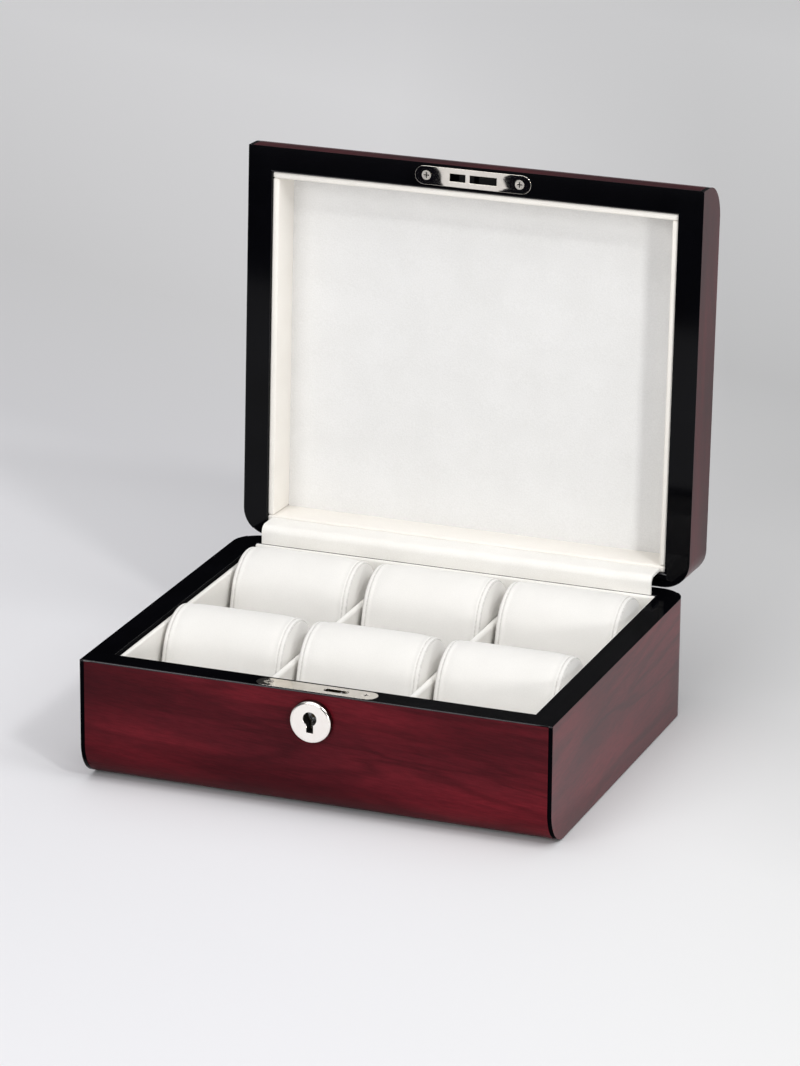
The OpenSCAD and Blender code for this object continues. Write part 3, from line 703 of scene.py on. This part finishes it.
pad_low, pad_high = shut_box("lid_padded_panel")
across, down = 44, 38  # squares of the pad's mesh
edge_drop, edge_reach, ripple_h = 0.0004, 0.0008, 0.00006
bm = bmesh.new()
for face_side in (0, 1):
    rows = []
    for j in range(down + 1):
        row = []
        for i in range(across + 1):
            x = pad_low.x + (pad_high.x - pad_low.x) * i / across
            y = pad_low.y + (pad_high.y - pad_low.y) * j / down
            edge = min(x - pad_low.x, pad_high.x - x, y - pad_low.y, pad_high.y - y)
            drop = edge_drop * math.exp(-edge / edge_reach)
            ripple = ripple_h * math.sin(x * 61) * math.sin(y * 47)
            z = pad_high.z if face_side else pad_low.z + drop + ripple
            row.append(bm.verts.new((x, y, z)))
        rows.append(row)
    for j in range(down):
        for i in range(across):
            quad = (rows[j][i], rows[j][i + 1], rows[j + 1][i + 1], rows[j + 1][i])
            bm.faces.new(quad)
bridge = [e for e in bm.edges if e.is_boundary]
bmesh.ops.bridge_loops(bm, edges=bridge)
bmesh.ops.recalc_face_normals(bm, faces=bm.faces)
bm.transform(opened)
lid_pad = link_mesh("lid_pad", bm, [woven], 60)
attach(lid_pad, "lid")
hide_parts("lid_padded_panel")

# ---- Hinge cover ----
# A strip of soft card in cream cloth hides the hinges. It is glued to the back lining's top
# and to the lid's lining and bends over the gap between them.
cover_low, cover_high = (Vector(corner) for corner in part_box("hinge_cover"))
cover_t, cover_r, cover_cuts = 0.0012, 0.0035, 40
foot_step, foot_rows, bend_rows, top_rows, glue_gap = 0.0007, 7, 8, 8, 0.0002
top_d = cover_high.y - glue_gap - cover_low.y - cover_r
skin = [(cover_low.y, cover_low.z + k * foot_step) for k in range(foot_rows)]
for k in range(bend_rows + 1):
    a = math.pi - k * math.pi / (2 * bend_rows)
    bend_y, bend_z = cover_r * math.cos(a), cover_r * math.sin(a)
    skin.append((cover_low.y + cover_r + bend_y, cover_high.z - cover_r + bend_z))
for k in range(1, top_rows + 1):
    skin.append((cover_low.y + cover_r + top_d * k / top_rows, cover_high.z))
inner = []
for k, (y, z) in enumerate(skin):
    before, after = skin[max(k - 1, 0)], skin[min(k + 1, len(skin) - 1)]
    way = Vector((after[0] - before[0], after[1] - before[1])).normalized()
    inner.append((y + way.y * cover_t, z - way.x * cover_t))
section = skin + inner[::-1]
glued_z = cover_low.z + 0.003
bm = bmesh.new()
slices = []
for i in range(cover_cuts + 1):
    x = cover_low.x + (cover_high.x - cover_low.x) * i / cover_cuts
    soft = 0.00012 * math.sin(i * 1.7) + 0.00008 * math.sin(i * 0.63 + 1)
    slices.append([bm.verts.new((x, y, z + (soft if z > glued_z else 0))) for y, z in section])
for a, b in zip(slices, slices[1:]):
    for k in range(len(section)):
        n = (k + 1) % len(section)
        bm.faces.new((a[k], a[n], b[n], b[k]))
bm.faces.new(slices[0])
bm.faces.new(slices[-1][::-1])
bmesh.ops.recalc_face_normals(bm, faces=bm.faces)
cover = link_mesh("hinge_cover_strip", bm, [cream_cloth], 60)
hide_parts("hinge_cover")
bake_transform(cover)

# ---- Lock ----
# The lock is let into the front rim: a bright plate over a brass case, with a steel claw that
# swings up through the slot. A round keyhole plate sits on the front, a keeper in the lid.
bright = metal("bright_nickel", (0.95, 0.90, 0.845), (0.99, 0.955, 0.905), 0.16, 0.03)


def sums(tree, how, a, b=0.0):
    """One step of arithmetic on two sockets or numbers."""
    node = add(tree, "ShaderNodeMath", operation=how)
    for socket, value in zip(node.inputs, (a, b)):
        if isinstance(value, bpy.types.NodeSocket):
            tree.links.new(value, socket)
        else:
            socket.default_value = value
    return node.outputs[0]


def polished_nickel(name, bow):
    """Mirror-bright nickel on thin sheet, a little wavy and, with bow, bent along its length."""
    wave_scale, wave_h, bump_h = 60, 0.0035, 0.035
    bow_turns, bow_from_z = 95.0, 0.2225
    mat = metal(name, (0.62, 0.585, 0.53), (0.70, 0.665, 0.61), 0.03, 0.02)
    tree, shader = mat.node_tree, mat.node_tree.nodes["Principled BSDF"]
    waves = sums(tree, "MULTIPLY", noise(tree, stretched(tree, (1, 1, 1)), wave_scale, 0.0), wave_h)
    if bow:
        spot = add(tree, "ShaderNodeSeparateXYZ")
        tree.links.new(stretched(tree, (1, 1, 1)), spot.inputs["Vector"])
        bent = sums(tree, "COSINE", sums(tree, "MULTIPLY", spot.outputs["X"], bow_turns))
        under = sums(tree, "SUBTRACT", bow_from_z, spot.outputs["Z"])
        bent = sums(tree, "MULTIPLY", under, bent)
        waves = sums(tree, "ADD", bent, waves)
    bumped(tree, shader, waves, bump_h)
    return mat


plate_nickel = polished_nickel("plate_nickel", False)
keeper_nickel = polished_nickel("keeper_nickel", True)
screw_nickel = metal("screw_nickel", (0.70, 0.66, 0.60), (0.84, 0.80, 0.74), 0.22, 0.06)
# The escutcheon's upright outer rim is darkened: a painted dark reflection of the veneer round it.
rim_dark_reflection = metal("rim_dark_reflection", (0.12, 0.085, 0.08), (0.20, 0.15, 0.14), 0.18)
steel = metal("claw_steel", (0.62, 0.62, 0.62), (0.72, 0.72, 0.72), 0.22)
case_brass = metal("case_brass", (0.10, 0.075, 0.045), (0.16, 0.12, 0.07), 0.5)
# Keyhole walls and screw crosses get near-black painted shade, as deep recesses would show.
painted_hole_shade, tree, shader = new_material("painted_hole_shade", 0.6, specular=0.1)
hole_shade_speckle = noise(tree, stretched(tree, (1, 1, 1)), 700, 2.0)
tree.links.new(
    ramp(tree, hole_shade_speckle, ((0.3, (0.006, 0.005, 0.005)), (0.7, (0.016, 0.014, 0.012)))),
    shader.inputs["Base Color"],
)


def bright_plate(node, name, body, radius, finishes, turn=None, hole_r=0.0):
    """A plated piece with its stamped edges slightly rounded, painted shade inside its keyhole and a
    painted dark reflection on its upright outer rim.
    """
    bm = from_node(node, turn)
    round_edges(bm, 60, radius, 2)
    bm.normal_update()
    low, high = (Vector(corner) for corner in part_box(node))
    centre = (low + high) / 2
    for face in bm.faces:
        spot = face.calc_center_median()
        away = math.hypot(spot.x - centre.x, spot.z - centre.z)
        upright = abs(face.normal.y) < 0.5 and hole_r > 0
        face.material_index = (1 if away < hole_r else 2) if upright else 0
    if turn:
        bm.transform(turn.inverted())
    plate = link_mesh(name, bm, finishes, 35)
    flat_light = plate.modifiers.new("flat_faces", "WEIGHTED_NORMAL")
    flat_light.keep_sharp = True
    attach(plate, body)
    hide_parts(node)


bright_plate("lock_plate", "front_lock_plate", "box", 0.00018, [plate_nickel])
bright_plate("keeper_plate", "lid_keeper", "lid", 0.00030, [keeper_nickel], shut)
keyhole_finishes, keyhole_r = [bright, painted_hole_shade, rim_dark_reflection], 0.0062
bright_plate("escutcheon", "keyhole_plate", "box", 0.00012, keyhole_finishes, None, keyhole_r)

plate_low, plate_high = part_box("lock_plate")
lock_y = (plate_low[1] + plate_high[1]) / 2
screw_head_r = 0.0021
screw_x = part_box("lock_plate_screws")[1][0] - screw_head_r


def screw_heads(node, name, body, head_z, turn=None):
    """Two countersunk screws with painted shade inside their crosses."""
    cross_r, cross_top, cross_deep = 0.00135, 0.00002, 0.0013
    bm = from_node(node, turn)
    for face in bm.faces:
        at = face.calc_center_median()
        away = math.hypot(abs(at.x) - screw_x, at.y - lock_y)
        in_cross = away < cross_r and cross_top < abs(at.z - head_z) < cross_deep
        face.material_index = 1 if in_cross else 0
    if turn:
        bm.transform(turn.inverted())
    pair = link_mesh(name, bm, [screw_nickel, painted_hole_shade])
    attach(pair, body)
    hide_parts(node)


screw_heads("lock_plate_screws", "front_lock_screws", "box", rim_z)
screw_heads("keeper_screws", "lid_keeper_screws", "lid", lid_rim, shut)
for node in ("lock_case", "lock_case_cover"):
    finish_node(node, case_brass)
for node in ("lock_claw", "lock_spring"):
    finish_node(node, steel)

# ---- Floor and light ----
# A pale sheet lies under the box. Its greys are painted light and shade: bright in front,
# darker in bands behind the box, darker on the right than on the left, bright again far
# behind, and a faint blue cast on the left. Two small lamps stand at the right, broad ones
# in front and overhead, and a dark screen that paints a dark reflection in metal and lacquer.
floor_mat, tree, shader = new_material("pale_floor", 0.6, specular=0.2)


def distance_along(tree, turn, axis, start, end):
    """0 to 1 along one axis of the turned floor, between two distances."""
    parts = add(tree, "ShaderNodeSeparateXYZ")
    tree.links.new(stretched(tree, (1, 1, 1), (0, 0, turn)), parts.inputs["Vector"])
    span = add(tree, "ShaderNodeMapRange")
    span.inputs["From Min"].default_value = start
    span.inputs["From Max"].default_value = end
    tree.links.new(parts.outputs[axis], span.inputs["Value"])
    return span.outputs["Result"]


# These greys are painted light and shade on the floor: the darker bands and the darker right side stand
# for shadow and falloff.
left_painted_light = ((0.2, 0.78), (0.33, 0.82), (0.4, 0.68), (0.5, 0.72), (0.7, 0.95))
right_painted_light = ((0.3, 0.78), (0.37, 0.68), (0.46, 0.69), (0.56, 0.60), (0.85, 0.88))
depth = distance_along(tree, -24, "Y", -0.6, 1.4)
left_stops = [(at, (g, 0.996 * g, (1.02 if at < 0.5 else 1.0) * g)) for at, g in left_painted_light]
left_floor = ramp(tree, depth, left_stops)
right_floor = ramp(tree, depth, [(at, (g, g, g)) for at, g in right_painted_light])
across = distance_along(tree, 18.9, "X", -0.04, 0.16)
tree.links.new(mixed(tree, across, left_floor, right_floor), shader.inputs["Base Color"])
bm = bmesh.new()
floor_size, floor_cuts = 8, 8
bmesh.ops.create_grid(bm, x_segments=floor_cuts, y_segments=floor_cuts, size=floor_size)
floor = link_mesh("floor", bm, [floor_mat])

# A near-black sheet that the camera doesn't see and that casts no light or shade: it only paints a dark
# reflection in the rims and the metal.
screen_x, screen_y, screen_z = (-1, 0.5), (-1.15, -0.68), 0.001
corners = [(x, screen_y[0], screen_z) for x in screen_x]
corners += [(x, screen_y[1], screen_z) for x in screen_x[::-1]]
bm = bmesh.new()
bm.faces.new([bm.verts.new(corner) for corner in corners])
dark_reflection_screen, tree, shader = new_material("dark_reflection_screen", 1.0, specular=0.0)
shader.inputs["Base Color"].default_value = (0.004, 0.004, 0.006, 1)
dark_screen = link_mesh("dark_screen", bm, [dark_reflection_screen])
dark_screen.visible_camera = dark_screen.visible_diffuse = dark_screen.visible_shadow = False


def lamp(name, place, aim, size, power):
    """A rectangular lamp at a place, turned towards its aim."""
    data = bpy.data.lights.new(name, "AREA")
    data.shape = "RECTANGLE"
    data.size, data.size_y = size
    data.energy = power
    piece = bpy.data.objects.new(name, data)
    bpy.context.collection.objects.link(piece)
    piece.location = place
    piece.rotation_euler = (Vector(aim) - Vector(place)).to_track_quat("-Z", "Y").to_euler()


lamp("key_lamp", (1.48, -1.24, 1.74), (0, 0, 0.08), (0.22, 0.22), 12)
lamp("low_lamp", (2.05, -1.87, 0.42), (0, 0, 0.10), (0.36, 0.30), 16)
lamp("right_lamp", (1.5, -0.3, 1.5), (0, 0, 0.05), (0.9, 0.9), 9.5)
lamp("front_lamp", (-0.6, -2.5, 1.4), (0, 0, 0.12), (1.8, 1.2), 31.5)
lamp("overhead_lamp", (-0.1, -0.3, 2.2), (0, 0, 0.05), (1.6, 1.6), 10.5)
world = bpy.data.worlds.new("room")
bpy.context.scene.world = world
world.use_nodes = True
tree = world.node_tree
direction = add(tree, "ShaderNodeTexCoord")
parts = add(tree, "ShaderNodeSeparateXYZ")
tree.links.new(direction.outputs["Generated"], parts.inputs["Vector"])
tree.links.new(
    ramp(
        tree,
        parts.outputs["Z"],
        (
            (0.0, (0.45, 0.45, 0.46)),
            (0.10, (0.40, 0.40, 0.41)),
            (0.17, (0.06, 0.06, 0.065)),
            (0.55, (0.06, 0.06, 0.065)),
            (0.72, (0.62, 0.62, 0.63)),
            (1.0, (0.75, 0.75, 0.76)),
        ),
    ),
    tree.nodes["Background"].inputs["Color"],
)
bpy.context.scene.view_settings.view_transform = "Standard"
